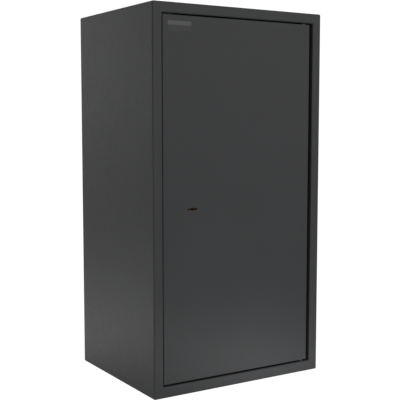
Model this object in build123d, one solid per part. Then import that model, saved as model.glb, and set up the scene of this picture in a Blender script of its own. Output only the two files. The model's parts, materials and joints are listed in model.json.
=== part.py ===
"""Key-locked steel security cabinet: folded body, inset door, boltwork and double-bitted lever lock.

Millimetres. The origin is the middle of the base, +Z is up, the door faces -Y and its hinges are at +X.
The model stands closed and unlocked: the bolts are drawn back into the door.
"""

from build123d import *
import os

# ------------------------------------------------------------------ cabinet dimensions
WIDTH, DEPTH, HEIGHT = 424.0, 340.0, 800.0
SHEET = 2.0  # body sheet
BEND = 3.5  # outer radius of the folds between the four sides
FRONT_BEND = 3.0  # outer radius of the folds round the front
FRAME_SIDE = 3.5  # how far the front frame's outer fold runs back
FLANGE, FLANGE_LOW = 21.8, 24.0  # width of the frame's flange, and at the bottom
JAMB_BEND = 3.0  # outer radius between the flange and the frame's return
JAMB_DEPTH = 40.0  # how far the return runs back
DOORWAY_CORNER = 0.6

HINGE_X, HINGE_Y = 172.5, -159.0  # the door's vertical pivot line
PIN_R = 3.0
PIN_REACH = 20.0  # how deep a hinge pin goes into its knuckle
PIN_HEAD_R, PIN_HEAD_HIGH = 5.0, 2.0
HINGE_PLATE = 8.0  # thickness of the pivot plates inside the frame
WASHER_HIGH, WASHER_WALL = 3.9, 1.6

PRESSED = 0.02  # radial clearance of a pressed or threaded fit
RUNNING = 0.05  # radial clearance of a turning or sliding fit
CLEAR = 0.2  # radial clearance of a bolted fit

STOP_X = (-186.0, -160.0)
STOP_FRONT, STOP_BACK = -160.0, -157.0
STOP_DROP = 18.0
BUMPER_X, BUMPER_R = -174.0, 5.0

ANCHOR_R = 6.0
BACK_ANCHOR_X, BACK_ANCHOR_Z = 130.0, (200.0, 600.0)
BASE_ANCHOR_X, BASE_ANCHOR_Y = 120.0, 20.0

SHELF_TOPS = {"upper": 540.0, "lower": 272.0}
SHELF_SHEET = 1.5
SHELF_FRONT, SHELF_BACK = -100.0, 164.0
SHELF_LIP, SHELF_HEM, SHELF_REAR_LIP = 18.0, 9.0, 12.0
RAIL_SHEET, RAIL_LEG = 2.0, 20.0
RAIL_FRONT, RAIL_BACK = -89.0, 158.0
SHELF_SCREW_Y = (-60.0, 130.0)
SHELF_SCREW_R, SHELF_SCREW_HEAD_R, SHELF_SCREW_HEAD = 2.5, 4.7, 2.6
MAT = 3.0  # felt thickness

# ------------------------------------------------------------------ door dimensions
DOOR_THICK = 5.0
DOOR_RECESS = 1.0  # how far the door's face stands behind the flange's
DOOR_EDGE = 2.2  # radius round the door's front
GAP_LOCK, GAP_HINGE, GAP_TOP, GAP_BOTTOM = 0.9, 8.2, 2.4, 3.0  # clearance round the door

BADGE_X, BADGE_Z = (-178.0, -123.2), (744.3, 763.8)
BADGE_THICK, BADGE_SUNK, BADGE_BORDER = 0.5, 0.2, 0.9

KNUCKLE_HIGH = 28.0
KNUCKLE_SIDE, KNUCKLE_REAR = 6.5, 7.0  # from the pivot line to a knuckle's sides and rear
KNUCKLE_BORE = 22.0

HOOK_SHEET = 3.0
HOOK_GAP = 3.0  # behind the frame when the door is closed
HOOK_WEB = 147.0  # where the rail's web stands
HOOK_FOOT, HOOK_OVERLAP = 20.0, 9.0
HOOK_LOW, HOOK_HIGH = 90.0, 710.0

CASING_LEFT, CASING_RIGHT = -180.0, -38.0  # boltwork casing on the door's inner face
CASING_LOW, CASING_HIGH = 60.0, 740.0
CASING_BACK = -129.5
COVER_SHEET, COVER_OVERLAP = 1.5, 2.0
GUIDE_SHEET, GUIDE_FOOT, GUIDE_LIP = 3.0, 20.0, 18.0
COVER_SCREW_HEIGHTS = (90.0, 285.0, 515.0, 710.0)
COVER_SCREW_LEFT, COVER_SCREW_RIGHT = -169.0, -50.0
COVER_SCREW_R, COVER_POST_R = 2.0, 5.0

# ------------------------------------------------------------------ boltwork dimensions
BOLT_R = 10.0
BOLT_Y = -147.5
BOLT_HEIGHTS = {"upper": 660.0, "middle": 400.0, "lower": 140.0}
BOLT_TIP = -186.0  # bolt ends when drawn back
BOLT_HOLE_R = 11.0
THROW = 20.0
SPIGOT_R = 5.0
SPIGOT_END = -100.0
SPIGOT_GUIDE_X, SPIGOT_GUIDE_FOOT, SPIGOT_GUIDE_HALF = -128.0, 24.0, 17.0

BAR_LEFT, BAR_THICK, BAR_WIDE = -157.0, 5.0, 22.0
BAR_LOW, BAR_HIGH = 108.0, 692.0
NUT_THICK, NUT_ACROSS = 5.0, 17.0
RIVET_R, RIVET_HEAD_R, RIVET_HEAD = 2.0, 3.6, 1.4

STRIKE_THICK, STRIKE_HALF = 5.0, 14.0
STRIKE_LOW, STRIKE_HIGH = 90.0, 710.0

# ------------------------------------------------------------------ lock dimensions
KEY_X, KEY_Z = -120.5, 386.0
KEY_SLOT, KEY_SLOT_HIGH, KEY_R = 23.5, 3.8, 3.4

LOCK_X, LOCK_Z = (-143.0, -58.0), (340.0, 424.0)
LOCK_WALL, LOCK_CORNER = 2.0, 4.0
LOCK_LID_Y = -144.0
LOCK_SCREWS = [(x, z) for x in (-137.0, -64.0) for z in (347.0, 417.0)]
LOCK_SCREW_R, LOCK_SCREW_GRIP, LOCK_BOSS_R = 2.5, 3.0, 4.6

TAIL_Y, TAIL_Z = (-161.0, -156.0), (354.0, 370.0)
TAIL_END = -78.0
TAIL_FOOT_Z, TAIL_FOOT_THICK = (347.0, 377.0), 3.0
TAIL_RIVET_HEIGHTS = (352.0, 372.0)
HORN_TOP = 378.0
HORN_OFFSETS = (-13.0, 33.0)  # horns left and right of the key, when the bolt is drawn back
HORN_HALF = 3.0
STUMP_X, STUMP_Z, STUMP_R, STUMP_END = -100.0, 362.0, 2.4, -145.2

PIVOT_X, PIVOT_Z, PIVOT_R = -70.0, 404.0, 3.0
LEVER_COUNT, LEVER_THICK, LEVER_PITCH, LEVER_FIRST_Y = 5, 1.5, 1.9, -154.6
LEVER_BELLIES = (12.5, 11.9, 12.3, 11.8, 12.1)  # radius of each lever's opening round the key
LEVER_RING_R, LEVER_HUB_R = 16.0, 7.0
SPRING_WIRE_R = 0.35

BARREL_DISC_R, BARREL_TUBE_R, BARREL_END_R, BARREL_JOURNAL_R = 13.5, 5.5, 6.5, 4.0
BARREL_END_GAP, BARREL_END_THICK = 2.5, 1.5

# ------------------------------------------------------------------ derived places
FRONT, BACK = -DEPTH / 2, DEPTH / 2
SIDE_IN = WIDTH / 2 - SHEET  # inner face of the side walls
JAMB_X = WIDTH / 2 - FLANGE
JAMB_LOW, JAMB_HIGH = FLANGE_LOW, HEIGHT - FLANGE
FRAME_SEAM, JAMB_BACK = FRONT + FRAME_SIDE, FRONT + JAMB_DEPTH
SHELF_SCREW_X = SIDE_IN - 12.0

DOOR_FRONT = FRONT + DOOR_RECESS
DOOR_BACK = DOOR_FRONT + DOOR_THICK
DOOR_LEFT, DOOR_RIGHT = -JAMB_X + GAP_LOCK, JAMB_X - GAP_HINGE
DOOR_LOW, DOOR_HIGH = JAMB_LOW + GAP_BOTTOM, JAMB_HIGH - GAP_TOP
KNUCKLE_LOW = JAMB_LOW + WASHER_HIGH + 0.1
KNUCKLE_TOP = DOOR_HIGH - 1.0

LID_FACE = CASING_BACK - COVER_SHEET  # where the boltwork cover rests
BAR_RIGHT = BAR_LEFT + BAR_THICK
LOCK_FLOOR = DOOR_BACK + LOCK_WALL
BARREL_END = LOCK_LID_Y - BARREL_END_GAP


# ------------------------------------------------------------------ helpers
def block(x0, x1, y0, y1, z0, z1):
    """Box between two corners."""
    return Pos((x0 + x1) / 2, (y0 + y1) / 2, (z0 + z1) / 2) * Box(x1 - x0, y1 - y0, z1 - z0)


def rod_x(y, z, radius, x0, x1):
    return Pos((x0 + x1) / 2, y, z) * Rot(0, 90, 0) * Cylinder(radius, x1 - x0)


def rod_y(x, z, radius, y0, y1):
    return Pos(x, (y0 + y1) / 2, z) * Rot(90, 0, 0) * Cylinder(radius, y1 - y0)


def rod_z(x, y, radius, z0, z1):
    return Pos(x, y, (z0 + z1) / 2) * Cylinder(radius, z1 - z0)


def facing_back(y):
    """Work plane at y whose own axes are X and Z."""
    return Plane(origin=(0, y, 0), x_dir=(1, 0, 0), z_dir=(0, -1, 0))


def circles(shape):
    return shape.edges().filter_by(GeomType.CIRCLE)


def strip(points, thick, bend):
    """Section of a folded strip, from its middle line, its thickness and its inner bend radius."""
    middle = Wire(FilletPolyline(*points, radius=bend + thick / 2).edges())
    near = middle.offset_2d(thick / 2, side=Side.LEFT, closed=False)
    far = middle.offset_2d(thick / 2, side=Side.RIGHT, closed=False)
    ends = []
    for corner in (near.position_at(0), near.position_at(1)):
        opposite = min((far.position_at(0), far.position_at(1)), key=lambda point: (point - corner).length)
        ends.append(Edge.make_line(corner, opposite))
    return make_face([*near.edges(), *far.edges(), *ends])


def folded_x(points, thick, bend, x0, x1):
    """Folded strip lying along X, from (y, z) points."""
    side = Plane(origin=(x0, 0, 0), x_dir=(0, 1, 0), z_dir=(1, 0, 0))
    return extrude(side * strip(points, thick, bend), x1 - x0)


def folded_y(points, thick, bend, y0, y1):
    """Folded strip lying along Y, from (x, z) points."""
    return extrude(facing_back(y1) * strip(points, thick, bend), y1 - y0)


def folded_z(points, thick, bend, z0, z1):
    """Folded strip standing along Z, from (x, y) points."""
    return Pos(0, 0, z0) * extrude(strip(points, thick, bend), z1 - z0)


def pan_screw_y(x, z, radius, head_r, head_high, y_seat, length):
    """Screw that points to -Y: domed head on y_seat, a hex socket in it, shank towards -Y."""
    head = rod_y(x, z, head_r, y_seat, y_seat + head_high)
    head = fillet(circles(head).sort_by(Axis.Y)[-1], head_high * 0.6)
    hexagon = Pos(x, z) * RegularPolygon(radius * 0.55, 6, major_radius=False)
    socket = extrude(facing_back(y_seat + head_high) * hexagon, head_high * 0.6)
    return head + rod_y(x, z, radius, y_seat - length, y_seat) - socket


def keyhole(y0, y1):
    """Double-bit keyhole: a round middle with a flat wing each side."""
    half_wide, half_high = KEY_SLOT / 2, KEY_SLOT_HIGH / 2
    wings = block(KEY_X - half_wide, KEY_X + half_wide, y0, y1, KEY_Z - half_high, KEY_Z + half_high)
    wings = fillet(wings.edges().filter_by(Axis.Y), 0.8)
    return wings + rod_y(KEY_X, KEY_Z, KEY_R, y0, y1)


# ------------------------------------------------------------------ cabinet
def sleeve(y0, y1, inset, bend):
    """Rounded block as wide and high as the body, less an inset all round."""
    x = WIDTH / 2 - inset
    return fillet(block(-x, x, y0, y1, inset, HEIGHT - inset).edges().filter_by(Axis.Y), bend)


def body_shell():
    """One sheet wrapped round the four sides."""
    shell = sleeve(FRAME_SEAM, BACK, 0, BEND) - sleeve(FRAME_SEAM - 1, BACK + 1, SHEET, BEND - SHEET)
    for x in (-BASE_ANCHOR_X, BASE_ANCHOR_X):
        shell -= rod_z(x, BASE_ANCHOR_Y, ANCHOR_R, -1, SHEET + 1)
    return shell


def front_frame():
    """Folded frame welded flush to the body: outer fold, flange, inner fold and the return behind it."""
    flange = sleeve(FRONT, FRAME_SEAM, 0, BEND)
    flange = fillet(flange.faces().sort_by(Axis.Y)[0].edges(), FRONT_BEND)
    flange -= sleeve(FRONT + SHEET, FRAME_SEAM + 1, SHEET, BEND - SHEET)
    jamb_x, jamb_z = JAMB_X + SHEET, (JAMB_LOW - SHEET, JAMB_HIGH + SHEET)
    frame = flange + block(-jamb_x, jamb_x, FRONT + SHEET, JAMB_BACK, *jamb_z)
    doorway = block(-JAMB_X, JAMB_X, FRONT - 1, JAMB_BACK + 1, JAMB_LOW, JAMB_HIGH)
    frame -= fillet(doorway.edges().filter_by(Axis.Y), DOORWAY_CORNER)
    frame = fillet(frame.faces().sort_by(Axis.Y)[0].inner_wires()[0].edges(), JAMB_BEND)
    for z in jamb_z:
        frame -= rod_z(HINGE_X, HINGE_Y, PIN_R + CLEAR, z - SHEET - 1, z + SHEET + 1)
    for z in BOLT_HEIGHTS.values():
        frame -= rod_x(BOLT_Y, z, BOLT_HOLE_R, -jamb_x - 1, -JAMB_X + 1)
    return frame


def back_panel():
    panel = block(-SIDE_IN, SIDE_IN, BACK - SHEET, BACK, SHEET, HEIGHT - SHEET)
    panel = fillet(panel.edges().filter_by(Axis.Y), BEND)
    for x in (-BACK_ANCHOR_X, BACK_ANCHOR_X):
        for z in BACK_ANCHOR_Z:
            panel -= rod_y(x, z, ANCHOR_R, BACK - SHEET - 1, BACK + 1)
    return panel


def strike_bar():
    """Thick bar behind the lock side of the frame, drilled for the bolts."""
    right = -JAMB_X - SHEET
    left = right - STRIKE_THICK
    bar = block(left, right, BOLT_Y - STRIKE_HALF, BOLT_Y + STRIKE_HALF, STRIKE_LOW, STRIKE_HIGH)
    for z in BOLT_HEIGHTS.values():
        bar -= rod_x(BOLT_Y, z, BOLT_HOLE_R, left - 1, right + 1)
    return bar


def hinge_plate(z0):
    """Plate behind the frame that holds a hinge pin."""
    plate = block(HINGE_X - 16, HINGE_X + 17, FRONT + SHEET + 1, HINGE_Y + 16, z0, z0 + HINGE_PLATE)
    return plate - rod_z(HINGE_X, HINGE_Y, PIN_R + PRESSED, z0 - 1, z0 + HINGE_PLATE + 1)


def hinge_plate_top():
    return hinge_plate(JAMB_HIGH + SHEET)


def hinge_plate_bottom():
    return hinge_plate(JAMB_LOW - SHEET - HINGE_PLATE)


def hinge_pin_top():
    """Pin hanging from the top plate, with a flat head and a chamfered end."""
    seat = JAMB_HIGH + SHEET + HINGE_PLATE
    pin = rod_z(HINGE_X, HINGE_Y, PIN_R, KNUCKLE_TOP - PIN_REACH, seat)
    pin = chamfer(circles(pin).sort_by(Axis.Z)[0], 1.0)
    return pin + rod_z(HINGE_X, HINGE_Y, PIN_HEAD_R, seat, seat + PIN_HEAD_HIGH)


def hinge_pin_bottom():
    """Pin standing on the bottom plate, with a flat head and a chamfered end."""
    seat = JAMB_LOW - SHEET - HINGE_PLATE
    pin = rod_z(HINGE_X, HINGE_Y, PIN_R, seat, KNUCKLE_LOW + PIN_REACH)
    pin = chamfer(circles(pin).sort_by(Axis.Z)[-1], 1.0)
    return pin + rod_z(HINGE_X, HINGE_Y, PIN_HEAD_R, seat - PIN_HEAD_HIGH, seat)


def thrust_washer():
    """Washer that carries the door's weight."""
    ring = rod_z(HINGE_X, HINGE_Y, PIN_R + WASHER_WALL, JAMB_LOW, JAMB_LOW + WASHER_HIGH)
    return ring - rod_z(HINGE_X, HINGE_Y, PIN_R + CLEAR, JAMB_LOW - 1, JAMB_LOW + WASHER_HIGH + 1)


def door_stop(z0, z1, free_end):
    """Tab that the closed door comes up against. Its free end is its bottom (0) or its top (-1)."""
    tab = block(*STOP_X, STOP_FRONT, STOP_BACK, z0, z1)
    return fillet(tab.edges().filter_by(Axis.Y).group_by(Axis.Z)[free_end], 5.0)


def door_stop_top():
    return door_stop(JAMB_HIGH - STOP_DROP, JAMB_HIGH, 0)


def door_stop_bottom():
    return door_stop(JAMB_LOW, JAMB_LOW + STOP_DROP, -1)


def door_bumpers():
    """Two rubber buttons on the stops."""
    buttons = []
    for z in (JAMB_HIGH - STOP_DROP * 0.6, JAMB_LOW + STOP_DROP * 0.6):
        button = rod_y(BUMPER_X, z, BUMPER_R, DOOR_BACK + CLEAR, STOP_FRONT)
        buttons.append(fillet(circles(button).sort_by(Axis.Y)[0], 1.5))
    return buttons


def shelf(top):
    """Tray with a hemmed front lip and a short rear lip."""
    mid = top - SHELF_SHEET / 2
    front, back = SHELF_FRONT + SHELF_SHEET / 2, SHELF_BACK - SHELF_SHEET / 2
    lip = top - SHELF_LIP
    rear = top - SHELF_REAR_LIP
    section = [(front + SHELF_HEM, lip), (front, lip), (front, mid), (back, mid), (back, rear)]
    tray = folded_x(section, SHELF_SHEET, 1.0, -SIDE_IN + 1.5, SIDE_IN - 1.5)
    for x in (-SHELF_SCREW_X, SHELF_SCREW_X):
        for y in SHELF_SCREW_Y:
            tray -= rod_z(x, y, SHELF_SCREW_R + CLEAR, top - 5, top + 1)
    return tray


def shelf_rail(top, side):
    """Folded angle on the side wall, under the shelf. side is -1 left or 1 right."""
    z = top - SHELF_SHEET - RAIL_SHEET / 2
    wall, inner = side * (SIDE_IN - RAIL_SHEET / 2), side * (SIDE_IN - RAIL_LEG)
    rail = folded_y([(wall, z - RAIL_LEG), (wall, z), (inner, z)], RAIL_SHEET, 1.0, RAIL_FRONT, RAIL_BACK)
    for y in SHELF_SCREW_Y:
        rail -= rod_z(side * SHELF_SCREW_X, y, SHELF_SCREW_R + PRESSED, z - 3, z + 3)
    return rail


def shelf_screw(x, y, top):
    """Button-head screw with a hex socket."""
    head = rod_z(x, y, SHELF_SCREW_HEAD_R, top, top + SHELF_SCREW_HEAD)
    head = fillet(circles(head).sort_by(Axis.Z)[-1], 1.6)
    socket = extrude(Pos(x, y, top + 1.0) * RegularPolygon(1.5, 6, major_radius=False), SHELF_SCREW_HEAD)
    return head + rod_z(x, y, SHELF_SCREW_R, top - 11, top) - socket


def shelf_screws():
    """Four screws to a shelf."""
    return [
        shelf_screw(x, y, top)
        for top in SHELF_TOPS.values()
        for x in (-SHELF_SCREW_X, SHELF_SCREW_X)
        for y in SHELF_SCREW_Y
    ]


def floor_mat():
    mat = block(-SIDE_IN + 2, SIDE_IN - 2, JAMB_BACK + 2, BACK - SHEET - 1, SHEET, SHEET + MAT)
    mat = fillet(mat.edges().filter_by(Axis.Z), 6)
    for x in (-BASE_ANCHOR_X, BASE_ANCHOR_X):
        mat -= rod_z(x, BASE_ANCHOR_Y, 2 * ANCHOR_R, 0, SHEET + MAT + 1)
    return mat


# ------------------------------------------------------------------ door
def door_plate():
    plate = block(DOOR_LEFT, DOOR_RIGHT, DOOR_FRONT, DOOR_BACK, DOOR_LOW, DOOR_HIGH)
    plate = fillet(plate.edges().filter_by(Axis.Y), DOOR_EDGE + 0.1)
    plate = fillet(plate.faces().sort_by(Axis.Y)[0].edges(), DOOR_EDGE)
    plate -= keyhole(DOOR_FRONT - 1, DOOR_BACK + 1)
    for x, z in LOCK_SCREWS:
        plate -= rod_y(x, z, LOCK_SCREW_R + PRESSED, DOOR_BACK - LOCK_SCREW_GRIP - 0.5, DOOR_BACK + 1)
    return plate


def badge_plate():
    """Blank plate in the upper lock-side corner, with a raised plain border."""
    plate = block(*BADGE_X, DOOR_FRONT - BADGE_THICK, DOOR_FRONT, *BADGE_Z)
    plate = fillet(plate.edges().filter_by(Axis.Y), 0.6)
    field_x = (BADGE_X[0] + BADGE_BORDER, BADGE_X[1] - BADGE_BORDER)
    field_z = (BADGE_Z[0] + BADGE_BORDER, BADGE_Z[1] - BADGE_BORDER)
    return plate - block(*field_x, DOOR_FRONT - 1, DOOR_FRONT - BADGE_THICK + BADGE_SUNK, *field_z)


def hinge_knuckle(z0):
    """Block on the door that turns on a hinge pin."""
    x0, x1 = HINGE_X - KNUCKLE_SIDE, HINGE_X + KNUCKLE_SIDE
    knuckle = block(x0, x1, DOOR_BACK, HINGE_Y + KNUCKLE_REAR, z0, z0 + KNUCKLE_HIGH)
    return fillet(knuckle.edges().filter_by(Axis.Z).group_by(Axis.Y)[-1], 5.0)


def hinge_knuckle_top():
    bore = rod_z(HINGE_X, HINGE_Y, PIN_R + RUNNING, KNUCKLE_TOP - KNUCKLE_BORE, KNUCKLE_TOP + 1)
    return hinge_knuckle(KNUCKLE_TOP - KNUCKLE_HIGH) - bore


def hinge_knuckle_bottom():
    bore = rod_z(HINGE_X, HINGE_Y, PIN_R + RUNNING, KNUCKLE_LOW - 1, KNUCKLE_LOW + KNUCKLE_BORE)
    return hinge_knuckle(KNUCKLE_LOW) - bore


def hook_rail():
    """Folded rail that hooks behind the hinge side of the frame as the door closes."""
    foot = DOOR_BACK + HOOK_SHEET / 2
    hook = JAMB_BACK + HOOK_GAP + HOOK_SHEET / 2
    line = [(HOOK_WEB - HOOK_FOOT, foot), (HOOK_WEB, foot), (HOOK_WEB, hook), (JAMB_X + HOOK_OVERLAP, hook)]
    return folded_z(line, HOOK_SHEET, 1.5, HOOK_LOW, HOOK_HIGH)


def bolt_guide_rail():
    """Folded channel on the lock side. The bolts slide in its wall and the cover screws to its lip."""
    wall = CASING_LEFT + GUIDE_SHEET / 2
    foot, lip = DOOR_BACK + GUIDE_SHEET / 2, LID_FACE - GUIDE_SHEET / 2
    line = [(CASING_LEFT + GUIDE_FOOT, foot), (wall, foot), (wall, lip), (CASING_LEFT + GUIDE_LIP, lip)]
    rail = folded_z(line, GUIDE_SHEET, 1.5, CASING_LOW, CASING_HIGH)
    for z in BOLT_HEIGHTS.values():
        rail -= rod_x(BOLT_Y, z, BOLT_R + RUNNING, CASING_LEFT - 1, CASING_LEFT + GUIDE_SHEET + 1)
    for z in COVER_SCREW_HEIGHTS:
        rail -= rod_y(COVER_SCREW_LEFT, z, COVER_SCREW_R + PRESSED, LID_FACE - 6, LID_FACE + 1)
    return rail


def boltwork_cover():
    """Tray over the boltwork, with flanges to the door at the top, the bottom and the hinge side."""
    low, high = CASING_LOW - COVER_OVERLAP, CASING_HIGH + COVER_OVERLAP
    tray = block(CASING_LEFT, CASING_RIGHT, DOOR_BACK + 0.3, CASING_BACK, low, high)
    tray = fillet(tray.edges().filter_by(Axis.Y).group_by(Axis.X)[-1], 3.0)
    tray = fillet(tray.faces().sort_by(Axis.Y)[-1].edges().sort_by(Axis.X)[1:], 2.0)
    inner_right = CASING_RIGHT - COVER_SHEET
    tray -= block(CASING_LEFT - 1, inner_right, DOOR_BACK, LID_FACE, low + COVER_SHEET, high - COVER_SHEET)
    for z in COVER_SCREW_HEIGHTS:
        for x in (COVER_SCREW_LEFT, COVER_SCREW_RIGHT):
            tray -= rod_y(x, z, COVER_SCREW_R + CLEAR, LID_FACE - 1, CASING_BACK + 1)
    return tray


def cover_posts():
    """Threaded posts that hold the cover's hinge side."""
    posts = []
    for z in COVER_SCREW_HEIGHTS:
        thread = rod_y(COVER_SCREW_RIGHT, z, COVER_SCREW_R + PRESSED, LID_FACE - 9, LID_FACE + 1)
        posts.append(rod_y(COVER_SCREW_RIGHT, z, COVER_POST_R, DOOR_BACK, LID_FACE) - thread)
    return posts


def cover_screws():
    """Short screws into the guide rail's lip and longer ones into the posts."""
    return [
        pan_screw_y(x, z, COVER_SCREW_R, 3.8, 2.2, CASING_BACK, length)
        for x, length in ((COVER_SCREW_LEFT, 4.4), (COVER_SCREW_RIGHT, 9.0))
        for z in COVER_SCREW_HEIGHTS
    ]


def spigot_guide(z):
    """Small angle that carries the inner end of a bolt."""
    foot = DOOR_BACK + 1.5
    line = [(SPIGOT_GUIDE_X + SPIGOT_GUIDE_FOOT, foot), (SPIGOT_GUIDE_X, foot), (SPIGOT_GUIDE_X, -135.0)]
    angle = folded_z(line, 3.0, 1.5, z - SPIGOT_GUIDE_HALF, z + SPIGOT_GUIDE_HALF)
    return angle - rod_x(BOLT_Y, z, SPIGOT_R + RUNNING, SPIGOT_GUIDE_X - 3, SPIGOT_GUIDE_X + 3)


# ------------------------------------------------------------------ boltwork
def bolt_bar():
    """Flat bar that moves the three bolts together."""
    bar = block(BAR_LEFT, BAR_RIGHT, BOLT_Y - BAR_WIDE / 2, BOLT_Y + BAR_WIDE / 2, BAR_LOW, BAR_HIGH)
    bar = fillet(bar.edges().filter_by(Axis.X), 4.0)
    for z in BOLT_HEIGHTS.values():
        bar -= rod_x(BOLT_Y, z, SPIGOT_R + PRESSED, BAR_LEFT - 1, BAR_RIGHT + 1)
    for z in TAIL_RIVET_HEIGHTS:
        bar -= rod_x(BOLT_Y, z, RIVET_R + PRESSED, BAR_LEFT - 1, BAR_RIGHT + 1)
    return bar


def locking_bolt(z, spigot_end):
    """Round bolt with a chamfered nose and a spigot through the bar."""
    nose = rod_x(BOLT_Y, z, BOLT_R, BOLT_TIP, BAR_LEFT)
    nose = chamfer(circles(nose).sort_by(Axis.X)[0], 1.8)
    spigot = rod_x(BOLT_Y, z, SPIGOT_R, BAR_LEFT, spigot_end)
    return nose + chamfer(circles(spigot).sort_by(Axis.X)[-1], 0.6)


def bolt_nuts():
    """Hexagonal nuts that hold the bolts on the bar."""
    nuts = []
    for z in BOLT_HEIGHTS.values():
        seat = Plane(origin=(BAR_RIGHT, BOLT_Y, z), x_dir=(0, 1, 0), z_dir=(1, 0, 0))
        nut = extrude(seat * RegularPolygon(NUT_ACROSS / 2, 6, major_radius=False), NUT_THICK)
        nuts.append(nut - rod_x(BOLT_Y, z, SPIGOT_R + PRESSED, BAR_RIGHT - 1, BAR_RIGHT + NUT_THICK + 1))
    return nuts


def lock_bolt():
    """The lock's sliding bolt: foot on the bar, plate with two key horns, and the stump the levers trap."""
    foot = block(BAR_RIGHT, BAR_RIGHT + TAIL_FOOT_THICK, TAIL_Y[0], BOLT_Y + 6, *TAIL_FOOT_Z)
    bolt = fillet(foot.edges().filter_by(Axis.X).group_by(Axis.Y)[-1], 3.0)
    bolt += block(BAR_RIGHT, TAIL_END, *TAIL_Y, *TAIL_Z)
    for offset in HORN_OFFSETS:
        x = KEY_X + offset
        bolt += block(x - HORN_HALF, x + HORN_HALF, *TAIL_Y, TAIL_Z[1], HORN_TOP)
    bolt += rod_y(STUMP_X, STUMP_Z, STUMP_R, TAIL_Y[1], STUMP_END)
    for z in TAIL_RIVET_HEIGHTS:
        bolt -= rod_x(BOLT_Y, z, RIVET_R + PRESSED, BAR_RIGHT - 1, BAR_RIGHT + TAIL_FOOT_THICK + 1)
    return bolt


def tail_rivets():
    """Two rivets, closed flush on the bar's lock side."""
    seat = BAR_RIGHT + TAIL_FOOT_THICK
    rivets = []
    for z in TAIL_RIVET_HEIGHTS:
        shank = rod_x(BOLT_Y, z, RIVET_R, BAR_LEFT + 0.2, seat + RIVET_HEAD)
        rivets.append(shank + rod_x(BOLT_Y, z, RIVET_HEAD_R, seat, seat + RIVET_HEAD))
    return rivets


# ------------------------------------------------------------------ lock
def lock_case():
    """Cast case: floor on the door, rim, corner bosses, and openings for the bolt's tail and the barrel."""
    case = block(*LOCK_X, DOOR_BACK, LOCK_LID_Y, *LOCK_Z)
    case = fillet(case.edges().filter_by(Axis.Y), LOCK_CORNER)
    inner_x = (LOCK_X[0] + LOCK_WALL, LOCK_X[1] - LOCK_WALL)
    inner_z = (LOCK_Z[0] + LOCK_WALL, LOCK_Z[1] - LOCK_WALL)
    hollow = block(*inner_x, LOCK_FLOOR, LOCK_LID_Y + 1, *inner_z)
    case -= fillet(hollow.edges().filter_by(Axis.Y), LOCK_CORNER - 1.5)
    for x, z in LOCK_SCREWS:
        case += rod_y(x, z, LOCK_BOSS_R, DOOR_BACK, LOCK_LID_Y)
        case -= rod_y(x, z, LOCK_SCREW_R + CLEAR, DOOR_BACK - 1, LOCK_LID_Y + 1)
    slot_y = (TAIL_Y[0] - 0.1, TAIL_Y[1] + 0.1)
    case -= block(LOCK_X[0] - 1, inner_x[0] + 1, *slot_y, TAIL_Z[0] - 0.1, HORN_TOP + 0.4)
    case -= rod_y(KEY_X, KEY_Z, BARREL_DISC_R + 0.1, DOOR_BACK - 1, LOCK_FLOOR + 1)
    return case


def lock_cover():
    """Flat lid with the barrel's journal hole."""
    top = LOCK_LID_Y + LOCK_WALL
    cover = block(*LOCK_X, LOCK_LID_Y, top, *LOCK_Z)
    cover = fillet(cover.edges().filter_by(Axis.Y), LOCK_CORNER)
    for x, z in LOCK_SCREWS:
        cover -= rod_y(x, z, LOCK_SCREW_R + CLEAR, LOCK_LID_Y - 1, top + 1)
    return cover - rod_y(KEY_X, KEY_Z, BARREL_JOURNAL_R + RUNNING, LOCK_LID_Y - 1, top + 1)


def lock_screws():
    """Four screws through the lid and the case into the door."""
    seat = LOCK_LID_Y + LOCK_WALL
    length = seat - DOOR_BACK + LOCK_SCREW_GRIP
    return [pan_screw_y(x, z, LOCK_SCREW_R, 4.4, 3.0, seat, length) for x, z in LOCK_SCREWS]


def key_barrel():
    """Barrel and curtain: it turns with the key and closes the keyhole behind the door."""
    barrel = rod_y(KEY_X, KEY_Z, BARREL_DISC_R, DOOR_BACK + RUNNING, LOCK_FLOOR)
    barrel += rod_y(KEY_X, KEY_Z, BARREL_TUBE_R, LOCK_FLOOR, BARREL_END)
    barrel -= keyhole(DOOR_BACK - 1, BARREL_END)
    journal_start = BARREL_END + BARREL_END_THICK
    barrel += rod_y(KEY_X, KEY_Z, BARREL_END_R, BARREL_END, journal_start)
    return barrel + rod_y(KEY_X, KEY_Z, BARREL_JOURNAL_R, journal_start, LOCK_LID_Y + LOCK_WALL)


def lever(index):
    """Brass lever: opening round the key, two pockets joined by the gate, and the arm to its pivot."""
    ring = Pos(KEY_X, KEY_Z) * Circle(LEVER_RING_R)
    gate_plate = Pos(-110, 363) * RectangleRounded(40, 22, 2)
    hub = Pos(PIVOT_X, PIVOT_Z) * Circle(LEVER_HUB_R)
    arm_line = Polyline((-118, 401.5), (-71, 411), (-64.5, 399.5), (-92, 373), (-118, 373), close=True)
    plate = ring + gate_plate + hub + make_face(arm_line)
    plate -= Pos(KEY_X, KEY_Z) * Circle(LEVER_BELLIES[index])
    plate -= Pos(PIVOT_X, PIVOT_Z) * Circle(PIVOT_R + RUNNING)
    for x in (STUMP_X, STUMP_X - THROW):
        plate -= Pos(x, STUMP_Z) * RectangleRounded(11, 12, 1.5)
    plate -= Pos(STUMP_X - THROW / 2, STUMP_Z) * Rectangle(THROW, 2 * STUMP_R + 1.4)
    y0 = LEVER_FIRST_Y + index * LEVER_PITCH
    return extrude(facing_back(y0 + LEVER_THICK) * plate, LEVER_THICK)


def lever_pivot_pin():
    return rod_y(PIVOT_X, PIVOT_Z, PIVOT_R, LOCK_FLOOR, LOCK_LID_Y)


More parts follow.
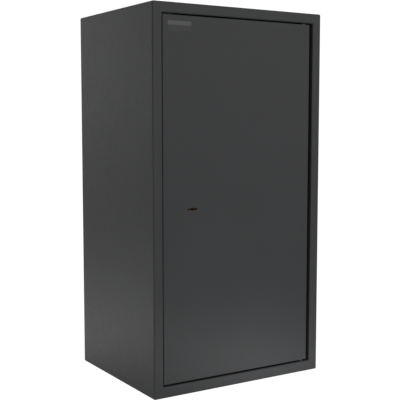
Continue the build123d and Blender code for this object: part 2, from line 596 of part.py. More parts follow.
def lever_springs():
    """One bowed wire to each lever, between its arm and the case's top wall."""
    springs = []
    for index in range(LEVER_COUNT):
        y = LEVER_FIRST_Y + index * LEVER_PITCH + LEVER_THICK / 2
        bow = FilletPolyline((-74, 413.4), (-82, 421.0), (-100, 420.2), (-112, 405.6), radius=3.0)
        path = facing_back(y) * bow
        section = Plane(origin=path.position_at(0), z_dir=path.tangent_at(0)) * Circle(SPRING_WIRE_R)
        springs.append(sweep(section, path=path))
    return springs


# ------------------------------------------------------------------ output
SINGLE_NODES = (
    body_shell, front_frame, back_panel, strike_bar, hinge_plate_top, hinge_plate_bottom, hinge_pin_top,
    hinge_pin_bottom, thrust_washer, door_stop_top, door_stop_bottom, door_bumpers, shelf_screws, floor_mat,
    door_plate, badge_plate, hinge_knuckle_top, hinge_knuckle_bottom, hook_rail, bolt_guide_rail,
    boltwork_cover, cover_posts, cover_screws, bolt_bar, bolt_nuts, lock_bolt, tail_rivets, lock_case,
    lock_cover, lock_screws, key_barrel, lever_pivot_pin, lever_springs,
)


def make_nodes():
    """Every node's name and shape."""
    made = {make.__name__: make() for make in SINGLE_NODES}
    for name, top in SHELF_TOPS.items():
        made[f"shelf_{name}"] = shelf(top)
        made[f"shelf_rail_{name}_left"] = shelf_rail(top, -1)
        made[f"shelf_rail_{name}_right"] = shelf_rail(top, 1)
    for name in ("upper", "lower"):
        made[f"locking_bolt_{name}"] = locking_bolt(BOLT_HEIGHTS[name], SPIGOT_END)
        made[f"spigot_guide_{name}"] = spigot_guide(BOLT_HEIGHTS[name])
    made["locking_bolt_middle"] = locking_bolt(BOLT_HEIGHTS["middle"], BAR_RIGHT + NUT_THICK + 1)
    for index in range(LEVER_COUNT):
        made[f"lever_{index + 1}"] = lever(index)
    return made


def write(name, shape):
    """One STEP file for a node of one or more solids."""
    pieces = shape if isinstance(shape, list) else [shape]
    solids = [solid for piece in pieces for solid in piece.solids()]
    whole = solids[0] if len(solids) == 1 else Compound(children=solids)
    export_step(whole, f"parts/{name}.step")


os.makedirs("parts", exist_ok=True)
for node, made_shape in make_nodes().items():
    write(node, made_shape)
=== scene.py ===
"""Looks of a key-locked steel safe: finishes, weld beads, felt mat, stage, light and camera."""

import json
import math

import bmesh
import bpy
from mathutils import Matrix, Vector, noise


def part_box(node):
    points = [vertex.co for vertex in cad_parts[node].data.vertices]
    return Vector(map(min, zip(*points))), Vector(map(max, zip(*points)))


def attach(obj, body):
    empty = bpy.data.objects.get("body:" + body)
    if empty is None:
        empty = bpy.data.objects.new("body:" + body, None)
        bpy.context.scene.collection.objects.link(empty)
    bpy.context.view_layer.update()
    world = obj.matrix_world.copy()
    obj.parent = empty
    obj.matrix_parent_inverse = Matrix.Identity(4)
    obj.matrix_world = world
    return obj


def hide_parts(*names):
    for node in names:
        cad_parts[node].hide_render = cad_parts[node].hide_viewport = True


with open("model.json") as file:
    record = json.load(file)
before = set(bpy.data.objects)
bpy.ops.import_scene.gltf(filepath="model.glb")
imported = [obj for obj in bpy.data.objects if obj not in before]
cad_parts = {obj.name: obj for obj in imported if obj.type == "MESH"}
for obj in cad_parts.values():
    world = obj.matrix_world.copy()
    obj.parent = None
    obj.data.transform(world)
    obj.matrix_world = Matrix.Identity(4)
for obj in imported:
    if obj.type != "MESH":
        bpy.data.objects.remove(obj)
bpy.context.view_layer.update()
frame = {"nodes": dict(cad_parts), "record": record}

MM = 0.001
SLOT_OF = {part["node"]: part["material_slot"] for part in frame["record"]["subparts"]}

# camera: the place and aim of the eye, in the frame's metres and degrees
EYE = Vector((-1.0226, -1.6401, 0.5640))
EYE_TURN, EYE_DIP = -32.033, 5.272
LENS, SENSOR = 76.28, 36.0

GRAPHITE = (0.0400, 0.0415, 0.0440)


# ------------------------------------------------------------------ shader helpers
class Graph:
    """Short ways to add, feed and join the nodes of one node tree."""

    def __init__(self, tree):
        self.nodes, self.links = tree.nodes, tree.links

    def add(self, kind, **settings):
        node = self.nodes.new(kind)
        for key, value in settings.items():
            setattr(node, key, value)
        return node

    def feed(self, socket, value):
        if isinstance(value, bpy.types.NodeSocket):
            self.links.new(value, socket)
        else:
            socket.default_value = value

    def math(self, operation, *values, clamp=False):
        node = self.add("ShaderNodeMath", operation=operation, use_clamp=clamp)
        for socket, value in zip(node.inputs, values):
            self.feed(socket, value)
        return node.outputs["Value"]

    def vector(self, operation, *values):
        """The single number that a vector operation gives."""
        node = self.add("ShaderNodeVectorMath", operation=operation)
        for socket, value in zip(node.inputs, values):
            self.feed(socket, value)
        return node.outputs["Value"]

    def total(self, values):
        result = values[0]
        for value in values[1:]:
            result = self.math("ADD", result, value)
        return result


class Finish(Graph):
    """One node-based material on a Principled shader, in the frame's own metres."""

    def __init__(self, name, **fixed):
        self.material = bpy.data.materials.new(name)
        self.material.use_nodes = True
        super().__init__(self.material.node_tree)
        self.shader = self.nodes["Principled BSDF"]
        for socket, value in fixed.items():
            self.shader.inputs[socket.replace("_", " ").title().replace("Ior", "IOR")].default_value = value
        self.place = self.add("ShaderNodeTexCoord").outputs["Object"]

    def stretched(self, scale):
        """Coordinates scaled by (x, y, z)."""
        node = self.add("ShaderNodeMapping")
        self.feed(node.inputs["Vector"], self.place)
        node.inputs["Scale"].default_value = scale
        return node.outputs["Vector"]

    def noise(self, size, detail=2.0, rough=0.5, distortion=0.0, place=None):
        """Noise whose features are about size metres across."""
        node = self.add("ShaderNodeTexNoise")
        self.feed(node.inputs["Vector"], place or self.place)
        node.inputs["Scale"].default_value = 1.0 / size
        node.inputs["Detail"].default_value = detail
        node.inputs["Roughness"].default_value = rough
        node.inputs["Distortion"].default_value = distortion
        return node.outputs["Fac"]

    def span(self, value, low, high, to_low=0.0, to_high=1.0):
        """Value mapped from one range to another, clamped."""
        node = self.add("ShaderNodeMapRange")
        keys = ("Value", "From Min", "From Max", "To Min", "To Max")
        for key, each in zip(keys, (value, low, high, to_low, to_high)):
            self.feed(node.inputs[key], each)
        return node.outputs["Result"]

    def mix(self, factor, first, second):
        """Colour between two colours."""
        node = self.add("ShaderNodeMix", data_type="RGBA")
        self.feed(node.inputs[0], factor)
        for socket, colour in ((node.inputs[6], first), (node.inputs[7], second)):
            self.feed(socket, colour if isinstance(colour, bpy.types.NodeSocket) else (*colour, 1.0))
        return node.outputs[2]

    def edges(self, radius):
        """1 on sharp convex and concave edges, 0 on open faces."""
        bevel = self.add("ShaderNodeBevel", samples=6)
        bevel.inputs["Radius"].default_value = radius
        flat = self.add("ShaderNodeNewGeometry").outputs["Normal"]
        return self.span(self.vector("DOT_PRODUCT", bevel.outputs["Normal"], flat), 0.995, 0.90)

    def bump(self, height, depth, strength=1.0, under=None):
        node = self.add("ShaderNodeBump")
        node.inputs["Strength"].default_value = strength
        node.inputs["Distance"].default_value = depth
        self.feed(node.inputs["Height"], height)
        if under is not None:
            self.feed(node.inputs["Normal"], under)
        return node.outputs["Normal"]

    def finish(self, colour, roughness, normal):
        self.feed(self.shader.inputs["Base Color"], colour)
        self.feed(self.shader.inputs["Roughness"], roughness)
        self.feed(self.shader.inputs["Normal"], normal)
        return self.material


def shade(colour, factor):
    return tuple(min(1.0, channel * factor) for channel in colour)


# ------------------------------------------------------------------ finishes
def off_seam(f):
    """0 along the ground and painted seam between the body and its front frame, 1 elsewhere."""
    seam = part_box("body_shell")[0].y
    split = f.add("ShaderNodeSeparateXYZ")
    f.feed(split.inputs["Vector"], f.place)
    away = f.math("ABSOLUTE", f.math("SUBTRACT", split.outputs["Y"], seam))
    return f.span(away, 1.5 * MM, 1.8 * MM)


def powder_coat(name, colour, gloss=0.42):
    """Fine-textured powder coat: leathery orange peel, pigment speckle, and lighter edges that are partly
    thinner paint and partly a painted highlight.
    """
    f = Finish(name)
    cloud = f.noise(0.16, detail=3)
    speckle = f.noise(0.7 * MM, detail=2, rough=0.7)
    peel = f.noise(2.4 * MM, detail=2, rough=0.55)
    grit = f.noise(0.55 * MM, detail=3, rough=0.6)
    base = f.mix(f.span(cloud, 0.3, 0.7), shade(colour, 0.94), shade(colour, 1.06))
    base = f.mix(f.span(speckle, 0.62, 0.80, 0.0, 0.55), base, shade(colour, 1.75))
    # Lighter edges: partly thinner paint, partly a painted highlight laid along the edges in patches.
    edge_mark_patches = f.span(f.noise(4 * MM, detail=4, rough=0.7), 0.42, 0.66, 0.1, 0.7)
    thin_paint_and_highlight = f.math("MULTIPLY", f.math("MULTIPLY", f.edges(1.2 * MM), edge_mark_patches), off_seam(f))
    base = f.mix(thin_paint_and_highlight, base, shade(colour, 1.9))
    roughness = f.span(f.noise(9 * MM, detail=4, rough=0.6), 0.3, 0.7, gloss - 0.04, gloss + 0.05)
    normal = f.bump(peel, 0.10 * MM, 0.55)
    normal = f.bump(grit, 0.035 * MM, 0.6, normal)
    return f.finish(base, roughness, normal)


def zinc_plate(name):
    """Bright zinc plate: pale blue and straw tints over a faint grain."""
    f = Finish(name, metallic=1.0)
    tint = f.noise(22 * MM, detail=3, distortion=0.6)
    base = f.mix(f.span(tint, 0.35, 0.65), (0.56, 0.585, 0.62), (0.62, 0.605, 0.555))
    bloom = f.span(f.noise(5 * MM, detail=5, rough=0.7), 0.55, 0.75, 0.0, 0.35)
    base = f.mix(bloom, base, (0.72, 0.73, 0.74))
    grain = f.noise(0.9 * MM, detail=2, place=f.stretched((1.0, 1.0, 0.06)))
    roughness = f.span(f.noise(7 * MM, detail=4), 0.3, 0.7, 0.26, 0.42)
    normal = f.bump(grain, 0.02 * MM, 0.5, f.bump(f.noise(1.6 * MM), 0.02 * MM, 0.4))
    return f.finish(base, roughness, normal)


def turned_steel(name, colour, along, roughness):
    """Turned steel: fine tool rings across the given axis (0, 1 or 2), with an oily bloom."""
    f = Finish(name, metallic=1.0)
    flat = tuple(1.0 if axis == along else 0.03 for axis in range(3))
    rings = f.noise(0.35 * MM, detail=3, rough=0.7, place=f.stretched(flat))
    bloom = f.noise(11 * MM, detail=4, distortion=0.4)
    base = f.mix(f.span(rings, 0.3, 0.7), shade(colour, 0.82), shade(colour, 1.12))
    base = f.mix(f.span(bloom, 0.5, 0.75, 0.0, 0.3), base, shade(colour, 0.62))
    oily = f.span(bloom, 0.3, 0.7, roughness - 0.04, roughness + 0.08)
    rough = f.math("ADD", oily, f.span(rings, 0.3, 0.7, 0.0, 0.05))
    return f.finish(base, rough, f.bump(rings, 0.012 * MM, 0.7))


def black_oxide(name):
    """Black-oxide steel: matt black, painted greyer along the edges as a highlight."""
    f = Finish(name, metallic=0.85)
    # Painted highlight: the edges are painted greyer.
    bright_edges = f.math("MULTIPLY", f.edges(0.5 * MM), f.span(f.noise(1.5 * MM, detail=3), 0.35, 0.65))
    base = f.mix(f.noise(3 * MM, detail=3), (0.022, 0.022, 0.025), (0.050, 0.050, 0.055))
    base = f.mix(bright_edges, base, (0.20, 0.20, 0.205))
    roughness = f.span(f.noise(2 * MM, detail=3), 0.3, 0.7, 0.34, 0.52)
    return f.finish(base, roughness, f.bump(f.noise(0.5 * MM, detail=3), 0.02 * MM, 0.6))


def grey_casting(name):
    """Grey die casting: pitted skin with brighter corners."""
    f = Finish(name, metallic=0.8)
    skin = f.noise(1.4 * MM, detail=5, rough=0.65)
    bright_edges = f.math("MULTIPLY", f.edges(0.8 * MM), f.span(f.noise(3 * MM, detail=3), 0.35, 0.6))
    base = f.mix(f.span(f.noise(14 * MM, detail=3), 0.3, 0.7), (0.23, 0.235, 0.24), (0.32, 0.32, 0.325))
    base = f.mix(bright_edges, base, (0.50, 0.50, 0.51))
    roughness = f.span(skin, 0.3, 0.7, 0.42, 0.62)
    return f.finish(base, roughness, f.bump(skin, 0.08 * MM, 0.6))


def stamped_brass(name):
    """Stamped brass: rolled grain with tarnish towards brown."""
    f = Finish(name, metallic=1.0)
    grain = f.noise(0.6 * MM, detail=2, place=f.stretched((0.05, 1.0, 1.0)))
    tarnish = f.noise(8 * MM, detail=5, rough=0.65, distortion=0.8)
    base = f.mix(f.span(grain, 0.3, 0.7), (0.62, 0.43, 0.17), (0.74, 0.53, 0.23))
    base = f.mix(f.span(tarnish, 0.48, 0.72, 0.0, 0.65), base, (0.36, 0.22, 0.09))
    base = f.mix(f.math("MULTIPLY", f.edges(0.4 * MM), 0.5), base, (0.82, 0.63, 0.32))
    roughness = f.span(tarnish, 0.3, 0.7, 0.26, 0.46)
    return f.finish(base, roughness, f.bump(grain, 0.012 * MM, 0.6))


def spring_wire(name):
    f = Finish(name, metallic=1.0)
    draw = f.noise(0.25 * MM, detail=2, rough=0.6)
    base = f.mix(f.span(draw, 0.3, 0.7), (0.30, 0.29, 0.27), (0.46, 0.45, 0.42))
    roughness = f.span(f.noise(2 * MM, detail=3), 0.3, 0.7, 0.25, 0.40)
    return f.finish(base, roughness, f.bump(draw, 0.008 * MM, 0.6))


def needle_felt(name):
    """Charcoal needle felt: tangled fibres in three directions, heathered colour, soft sheen."""
    f = Finish(name, sheen_weight=0.35, sheen_roughness=0.6)
    strands = [
        f.noise(0.55 * MM, detail=3, rough=0.7, distortion=1.5, place=f.stretched(scale))
        for scale in ((1.0, 0.16, 1.0), (0.16, 1.0, 1.0), (0.6, 0.6, 1.0))
    ]
    fibre = f.math("MAXIMUM", f.math("MAXIMUM", strands[0], strands[1]), strands[2])
    heather = f.noise(2.2 * MM, detail=4, rough=0.75)
    base = f.mix(f.span(fibre, 0.45, 0.72), (0.010, 0.0105, 0.012), (0.052, 0.054, 0.060))
    base = f.mix(f.span(heather, 0.55, 0.72, 0.0, 0.6), base, (0.085, 0.088, 0.096))
    roughness = f.span(heather, 0.3, 0.7, 0.86, 0.98)
    normal = f.bump(f.noise(6 * MM, detail=3), 0.5 * MM, 0.4)
    return f.finish(base, roughness, f.bump(fibre, 0.35 * MM, 0.8, normal))


def moulded_rubber(name):
    f = Finish(name)
    skin = f.noise(0.8 * MM, detail=4, rough=0.65)
    cloud = f.span(f.noise(5 * MM, detail=3), 0.35, 0.65)
    base = f.mix(cloud, (0.012, 0.012, 0.013), (0.024, 0.024, 0.026))
    base = f.mix(f.math("MULTIPLY", f.edges(0.8 * MM), f.span(skin, 0.4, 0.6)), base, (0.05, 0.05, 0.052))
    return f.finish(base, f.span(skin, 0.3, 0.7, 0.66, 0.84), f.bump(skin, 0.05 * MM, 0.6))


def badge_plate(name):
    """Blank nameplate: brushed grey lacquer, a paler band along its top, a bright rim."""
    f = Finish(name, metallic=0.25)
    low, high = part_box("badge_plate")
    tall = high.z - low.z
    height = f.add("ShaderNodeSeparateXYZ")
    f.feed(height.inputs["Vector"], f.place)
    up = height.outputs["Z"]
    brushed = f.noise(0.5 * MM, detail=3, rough=0.6, place=f.stretched((0.04, 1.0, 1.0)))
    base = f.mix(f.span(brushed, 0.3, 0.7), (0.050, 0.051, 0.053), (0.066, 0.067, 0.070))
    band = f.span(up, high.z - 0.45 * tall, high.z - 0.40 * tall)
    band = f.math("MULTIPLY", band, f.span(brushed, 0.2, 0.8, 0.75, 1.0))
    base = f.mix(band, base, (0.125, 0.127, 0.130))
    base = f.mix(f.math("MULTIPLY", f.edges(0.3 * MM), 0.6), base, (0.19, 0.19, 0.195))
    roughness = f.span(brushed, 0.3, 0.7, 0.38, 0.50)
    return f.finish(base, roughness, f.bump(brushed, 0.01 * MM, 0.6))


def make_finishes():
    return {
        "body_paint": powder_coat("body_powder_coat", GRAPHITE),
        "door_paint": powder_coat("door_powder_coat", shade(GRAPHITE, 0.97)),
        "inner_paint": powder_coat("inner_powder_coat", shade(GRAPHITE, 1.08)),
        "cover_paint": powder_coat("cover_powder_coat", shade(GRAPHITE, 1.12)),
        "shelf_paint": powder_coat("shelf_powder_coat", shade(GRAPHITE, 1.10)),
        "badge": badge_plate("blank_badge"),
        "zinc": zinc_plate("zinc_plate"),
        "ground_steel": turned_steel("ground_steel", (0.56, 0.56, 0.57), 0, 0.20),
        "hinge_steel": turned_steel("hinge_steel", (0.30, 0.30, 0.31), 2, 0.34),
        "black_screw": black_oxide("black_oxide"),
        "lock_case": grey_casting("lock_casting"),
        "brass": stamped_brass("stamped_brass"),
        "spring": spring_wire("spring_wire"),
        "felt": needle_felt("needle_felt"),
        "rubber": moulded_rubber("moulded_rubber"),
    }


FINISHES = make_finishes()


def dress_cad_nodes():
    for name, obj in frame["nodes"].items():
        for slot in obj.material_slots:
            slot.material = FINISHES[SLOT_OF[name]]


# ------------------------------------------------------------------ extra pieces
def new_piece(name, mesh, slot, body):
    """Object from a bmesh, with a slot's finish, riding on a body."""
    data = bpy.data.meshes.new(name)
    bmesh.ops.recalc_face_normals(mesh, faces=mesh.faces)
    mesh.to_mesh(data)
    mesh.free()
    data.materials.append(FINISHES[slot])
    piece = bpy.data.objects.new(name, data)
    bpy.context.collection.objects.link(piece)
    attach(piece, body)
    return piece


RIPPLE = 1.7 * MM
BEAD_STEP = 0.42 * MM
BEAD_SIDES = 8


def add_bead(mesh, start, end, first, second, leg):
    """Fillet weld in the corner of two faces whose outward normals are first and second."""
    start, end, first, second = (Vector(v) for v in (start, end, first, second))
    length = (end - start).length
    steps = max(8, int(length / BEAD_STEP))
    rings = []
    for step in range(steps + 1):
        share = step / steps
        crown = (1.0 - abs(2.0 * share - 1.0) ** 10) ** 0.5
        wander = 0.07 * noise.noise(Vector((start.x, start.y, start.z + share * length)) * 160.0)
        ring = []
        for side in range(BEAD_SIDES + 1):
            angle = 0.5 * math.pi * side / BEAD_SIDES
            skew = 0.55 * MM * math.sin(2.0 * angle)
            wave = 0.09 * math.cos(2.0 * math.pi * (share * length - skew) / RIPPLE)
            reach = leg * max(0.05, crown * (0.92 + wave * math.sin(2.0 * angle) + wander))
            outward = math.cos(angle) * first + math.sin(angle) * second
            ring.append(start + (end - start) * share + reach * outward)
        ring.append(start + (end - start) * share - 0.15 * MM * (first + second))
        rings.append([mesh.verts.new(point) for point in ring])
    for near, far in zip(rings, rings[1:]):
        for i in range(len(near)):
            j = (i + 1) % len(near)
            mesh.faces.new((near[i], near[j], far[j], far[i]))
    mesh.faces.new(rings[0])
    mesh.faces.new(reversed(rings[-1]))


def stitches(low, high, count, length):
    """Starts and ends of stitches spread evenly between low and high."""
    pitch = (high - low - length) / max(1, count - 1)
    return [(low + i * pitch, low + i * pitch + length) for i in range(count)]


def weld(name, beads, body, slot="inner_paint"):
    """One piece from several beads: (start, end, normal, normal, leg)."""
    mesh = bmesh.new()
    for bead in beads:
        add_bead(mesh, *bead)
    piece = new_piece(name, mesh, slot, body)
    for face in piece.data.polygons:
        face.use_smooth = True
    return piece


X, Y, Z = Vector((1, 0, 0)), Vector((0, 1, 0)), Vector((0, 0, 1))


def hook_rail_welds():
    """Stitches along the free edge of the hook rail's foot."""
    low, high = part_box("hook_rail")
    door_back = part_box("door_plate")[1].y
    beads = [
        ((low.x, door_back, a), (low.x, door_back, b), -X, Y, 2.6 * MM)
        for a, b in stitches(low.z + 12 * MM, high.z - 12 * MM, 8, 24 * MM)
    ]
    return weld("hook_rail_welds", beads, "door")


def knuckle_welds():
    """A bead down both sides of each hinge knuckle."""
    door_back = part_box("door_plate")[1].y
    beads = []
    for node in ("hinge_knuckle_top", "hinge_knuckle_bottom"):
        low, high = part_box(node)
        for x, outward in ((low.x, -X), (high.x, X)):
            beads.append(((x, door_back, low.z + MM), (x, door_back, high.z - MM), outward, Y, 2.2 * MM))
    return weld("knuckle_welds", beads, "door")


def stop_welds():
    """A bead behind each door stop, where its tab meets the frame."""
    beads = []
    for node, towards in (("door_stop_top", -Z), ("door_stop_bottom", Z)):
        low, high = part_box(node)
        z = high.z if towards.z < 0 else low.z
        beads.append(((low.x + 2 * MM, high.y, z), (high.x - 2 * MM, high.y, z), Y, towards, 2.2 * MM))
    return weld("stop_welds", beads, "cabinet")


def rail_welds():
    """Stitches under each shelf rail and up its front end."""
    beads = []
    for level in ("upper", "lower"):
        for side, outward in (("left", X), ("right", -X)):
            low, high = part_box(f"shelf_rail_{level}_{side}")
            wall = low.x if side == "left" else high.x
            for a, b in stitches(low.y + 8 * MM, high.y - 8 * MM, 4, 22 * MM):
                beads.append(((wall, a, low.z), (wall, b, low.z), outward, -Z, 2.0 * MM))
            beads.append(((wall, low.y, low.z + MM), (wall, low.y, high.z - 4 * MM), outward, -Y, 2.0 * MM))
    return weld("shelf_rail_welds", beads, "cabinet", "shelf_paint")


def back_panel_welds():
    """Stitches round the back panel, inside the body."""
    low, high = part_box("back_panel")
    y = low.y
    beads = []
    for a, b in stitches(low.z + 20 * MM, high.z - 20 * MM, 7, 28 * MM):
        beads.append(((low.x, y, a), (low.x, y, b), X, -Y, 2.4 * MM))
        beads.append(((high.x, y, a), (high.x, y, b), -X, -Y, 2.4 * MM))
    for a, b in stitches(low.x + 30 * MM, high.x - 30 * MM, 4, 28 * MM):
        beads.append(((a, y, high.z), (b, y, high.z), -Z, -Y, 2.4 * MM))
    return weld("back_panel_welds", beads, "cabinet", "body_paint")


def strike_bar_welds():
    """Stitches along the strike bar's rear edge, behind the frame's return."""
    low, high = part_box("strike_bar")
    beads = [
        ((high.x, high.y, a), (high.x, high.y, b), -X, Y, 2.4 * MM)
        for a, b in stitches(low.z + 5 * MM, high.z - 5 * MM, 6, 24 * MM)
    ]
    return weld("strike_bar_welds", beads, "cabinet")


def hinge_plate_welds():
    """A bead along the rear edge of each hinge plate."""
    beads = []
    for node, towards in (("hinge_plate_top", Z), ("hinge_plate_bottom", -Z)):
        low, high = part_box(node)
        z = low.z if towards.z > 0 else high.z
        beads.append(((low.x + MM, high.y, z), (high.x - MM, high.y, z), Y, towards, 2.6 * MM))
    return weld("hinge_plate_welds", beads, "cabinet")


SPOT_R = 3.0 * MM
SPOT_POINTS = 24
# from the middle out: (share of the radius, height in mm)
SPOT_PROFILE = (
    (0.0, 0.10),
    (0.45, 0.08),
    (0.72, 0.05),
    (0.86, 0.16),
    (0.98, 0.24),
    (1.10, 0.14),
    (1.20, -0.05),
)
SPOT_FOOT = 0.05 * MM  # how deep a mark is set into the sheet
HOOK_FOOT_THICK = 3.0 * MM
SPOT_MARKS, SPOT_INSET = 9, 10 * MM


def add_spot(mesh, centre, outward, across):
    """Spot-weld mark: a shallow dimple inside a raised ring."""
    centre, outward, across = Vector(centre), Vector(outward), Vector(across)
    other = outward.cross(across)
    rings = []
    for reach, height in SPOT_PROFILE[1:]:
        ring = []
        for step in range(SPOT_POINTS):
            angle = 2.0 * math.pi * step / SPOT_POINTS
            spoke = math.cos(angle) * across + math.sin(angle) * other
            ring.append(mesh.verts.new(centre + outward * height * MM + SPOT_R * reach * spoke))
        rings.append(ring)
    top = mesh.verts.new(centre + outward * SPOT_PROFILE[0][1] * MM)
    foot = mesh.verts.new(centre - outward * SPOT_FOOT)
    for i in range(SPOT_POINTS):
        j = (i + 1) % SPOT_POINTS
        mesh.faces.new((top, rings[0][i], rings[0][j]))
        for near, far in zip(rings, rings[1:]):
            mesh.faces.new((near[i], far[i], far[j], near[j]))
        mesh.faces.new((foot, rings[-1][j], rings[-1][i]))


def spot_welds():
    """A row of spot-weld marks on the hook rail's foot."""
    mesh = bmesh.new()
    low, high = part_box("hook_rail")
    door_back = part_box("door_plate")[1].y
    foot_face = door_back + HOOK_FOOT_THICK
    for i in range(SPOT_MARKS):
        z = low.z + (i + 0.5) * (high.z - low.z) / SPOT_MARKS
        add_spot(mesh, (low.x + SPOT_INSET, foot_face, z), Y, X)
    piece = new_piece("hook_rail_spot_welds", mesh, "inner_paint", "door")
    for face in piece.data.polygons:
        face.use_smooth = True
    return piece


MAT_CELL = 4.0 * MM
MAT_HOLE_R = 12.0 * MM
MAT_HOLE_X, MAT_HOLE_Y = 120.0 * MM, 20.0 * MM
MAT_RIM = 0.9 * MM  # how far the cut edge is rounded


def felt_mat():
    """Cut felt mat: thick cloth with two round holes, soft uneven edges and a slightly lumpy top."""
    low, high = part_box("floor_mat")
    size = high - low
    mesh = bmesh.new()
    underside = Matrix.Translation((low + high) / 2 - Z * size.z / 2)
    bmesh.ops.create_grid(
        mesh,
        x_segments=round(size.x / MAT_CELL),
        y_segments=round(size.y / MAT_CELL),
        size=0.5,
        matrix=underside @ Matrix.Diagonal((size.x, size.y, 1, 1)),
    )
    holes = [Vector((side * MAT_HOLE_X, MAT_HOLE_Y, low.z)) for side in (-1, 1)]
    inside = [
        face for face in mesh.faces
        if any((face.calc_center_median() - hole).xy.length < MAT_HOLE_R - 0.3 * MAT_CELL for hole in holes)
    ]
    bmesh.ops.delete(mesh, geom=inside, context="FACES")
    for vert in mesh.verts:
        for hole in holes:
            away = (vert.co - hole).xy
            if away.length < MAT_HOLE_R + 0.55 * MAT_CELL and any(e.is_boundary for e in vert.link_edges):
                vert.co.xy = hole.xy + away.normalized() * MAT_HOLE_R
    bmesh.ops.solidify(mesh, geom=mesh.faces[:], thickness=size.z)
    if min(v.co.z for v in mesh.verts) < low.z - 1e-6:
        bmesh.ops.translate(mesh, vec=Z * size.z, verts=mesh.verts[:])
    rim = [e for e in mesh.edges if e.calc_face_angle(0.0) > 1.0]
    bmesh.ops.bevel(mesh, geom=rim, offset=MAT_RIM, segments=3, affect="EDGES", profile=0.5)
    for vert in mesh.verts:
        share = (vert.co.z - low.z) / size.z
        lump = noise.noise(vert.co * 40.0) * 0.5 + noise.noise(vert.co * 170.0) * 0.35
        vert.co.z += share * (-0.30 + 0.28 * lump) * MM
        pull = 0.25 * MM * noise.noise(Vector((vert.co.x, vert.co.y, 0)) * 90.0)
        vert.co.x -= math.copysign(abs(pull), vert.co.x)
        vert.co.y += pull * 0.5
    mat = new_piece("felt_mat", mesh, "felt", "cabinet")
    for face in mat.data.polygons:
        face.use_smooth = True
    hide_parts("floor_mat")
    return mat


# ------------------------------------------------------------------ stage
FLOOR_REACH = 30.0
# soft glows of the lit floor: (centre, radius, strength)
GLOWS = (
    ((0.10, -0.36, 0.0), 0.22, 1.05),
    ((-0.70, 0.50, 0.0), 0.70, 0.54),
    ((-0.42, 0.32, 0.0), 0.25, 0.15),
)
# soft light from all round: (direction, sharpness, strength)
SKY = (
    ((0.0, -1.0, 0.0), 2.0, 1.40),
    ((-0.2, 0.98, 0.0), 12.0, 1.45),
    ((1.0, 0.0, 0.0), 2.0, 0.20),
    ((0.0, 0.0, 1.0), 2.0, 0.60),
)
SEEN_WHITE = 1.05  # the floor and the room as the eye sees them


def pale_floor():
    """White floor, brighter beside the safe, and plain white to the eye."""
    mesh = bpy.data.meshes.new("floor")
    corners = [(x * FLOOR_REACH, y * FLOOR_REACH, 0) for x, y in ((-1, -1), (1, -1), (1, 1), (-1, 1))]
    mesh.from_pydata(corners, [], [(0, 1, 2, 3)])
    f = Finish("pale_floor", specular_ior_level=0.0, emission_color=(1.0, 1.0, 1.0, 1.0))
    tint = f.mix(f.noise(0.8, detail=3), (0.78, 0.78, 0.78), (0.82, 0.82, 0.82))
    glows = []
    for centre, radius, strength in GLOWS:
        away = f.math("DIVIDE", f.vector("DISTANCE", f.place, centre), radius)
        fade = f.math("EXPONENT", f.math("MULTIPLY", f.math("POWER", away, 2.0), -1.0))
        glows.append(f.math("MULTIPLY", fade, strength))
    f.feed(f.shader.inputs["Emission Strength"], f.total(glows))
    f.finish(tint, 0.9, f.bump(f.noise(0.05), 0.2 * MM, 0.2))
    seen = f.add("ShaderNodeEmission")
    seen.inputs["Strength"].default_value = SEEN_WHITE
    choose = f.add("ShaderNodeMixShader")
    f.feed(choose.inputs["Fac"], f.add("ShaderNodeLightPath").outputs["Is Camera Ray"])
    f.feed(choose.inputs[1], f.shader.outputs["BSDF"])
    f.feed(choose.inputs[2], seen.outputs["Emission"])
    f.feed(f.nodes["Material Output"].inputs["Surface"], choose.outputs["Shader"])
    mesh.materials.append(f.material)
    floor = bpy.data.objects.new("floor", mesh)
    bpy.context.collection.objects.link(floor)


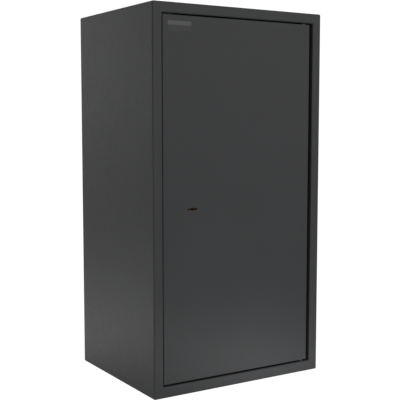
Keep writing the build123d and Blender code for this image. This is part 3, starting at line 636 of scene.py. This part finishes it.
def studio_world():
    """Room lit softly from a few sides, and plain white where the camera sees it."""
    world = bpy.data.worlds.new("studio")
    bpy.context.scene.world = world
    world.use_nodes = True
    world.node_tree.nodes.clear()
    graph = Graph(world.node_tree)
    way = graph.add("ShaderNodeTexCoord").outputs["Generated"]
    lobes = []
    for direction, sharpness, strength in SKY:
        facing = graph.math("MAXIMUM", graph.vector("DOT_PRODUCT", way, direction), 0.0)
        lobes.append(graph.math("MULTIPLY", graph.math("POWER", facing, sharpness), strength))
    lit = graph.add("ShaderNodeBackground")
    graph.feed(lit.inputs["Strength"], graph.total(lobes))
    seen = graph.add("ShaderNodeBackground")
    seen.inputs["Color"].default_value = (1.0, 1.0, 1.0, 1.0)
    seen.inputs["Strength"].default_value = SEEN_WHITE
    choose = graph.add("ShaderNodeMixShader")
    graph.feed(choose.inputs["Fac"], graph.add("ShaderNodeLightPath").outputs["Is Camera Ray"])
    graph.feed(choose.inputs[1], lit.outputs["Background"])
    graph.feed(choose.inputs[2], seen.outputs["Background"])
    graph.feed(graph.add("ShaderNodeOutputWorld").inputs["Surface"], choose.outputs["Shader"])


def softbox(name, place, target, width, height, power):
    """Rectangular area light aimed at a point."""
    data = bpy.data.lights.new(name, "AREA")
    data.shape = "RECTANGLE"
    data.size, data.size_y = width, height
    data.energy = power
    light = bpy.data.objects.new(name, data)
    light.location = place
    light.rotation_euler = (Vector(target) - Vector(place)).to_track_quat("-Z", "Y").to_euler()
    light.visible_camera = False
    bpy.context.collection.objects.link(light)


def studio_lights():
    softbox("front_fill", (2.0, -2.2, 0.9), (0.0, 0.0, 0.4), 1.6, 1.6, 1.5)


def camera():
    data = bpy.data.cameras.new("camera")
    data.lens, data.sensor_width = LENS, SENSOR
    eye = bpy.data.objects.new("camera", data)
    eye.location = EYE
    eye.rotation_euler = (math.radians(90.0 - EYE_DIP), 0.0, math.radians(EYE_TURN))
    bpy.context.collection.objects.link(eye)
    bpy.context.scene.camera = eye


camera()
studio_world()
studio_lights()
pale_floor()
dress_cad_nodes()
hook_rail_welds()
knuckle_welds()
stop_welds()
rail_welds()
back_panel_welds()
strike_bar_welds()
hinge_plate_welds()
spot_welds()
felt_mat()

bpy.context.scene.view_settings.view_transform = "Standard"
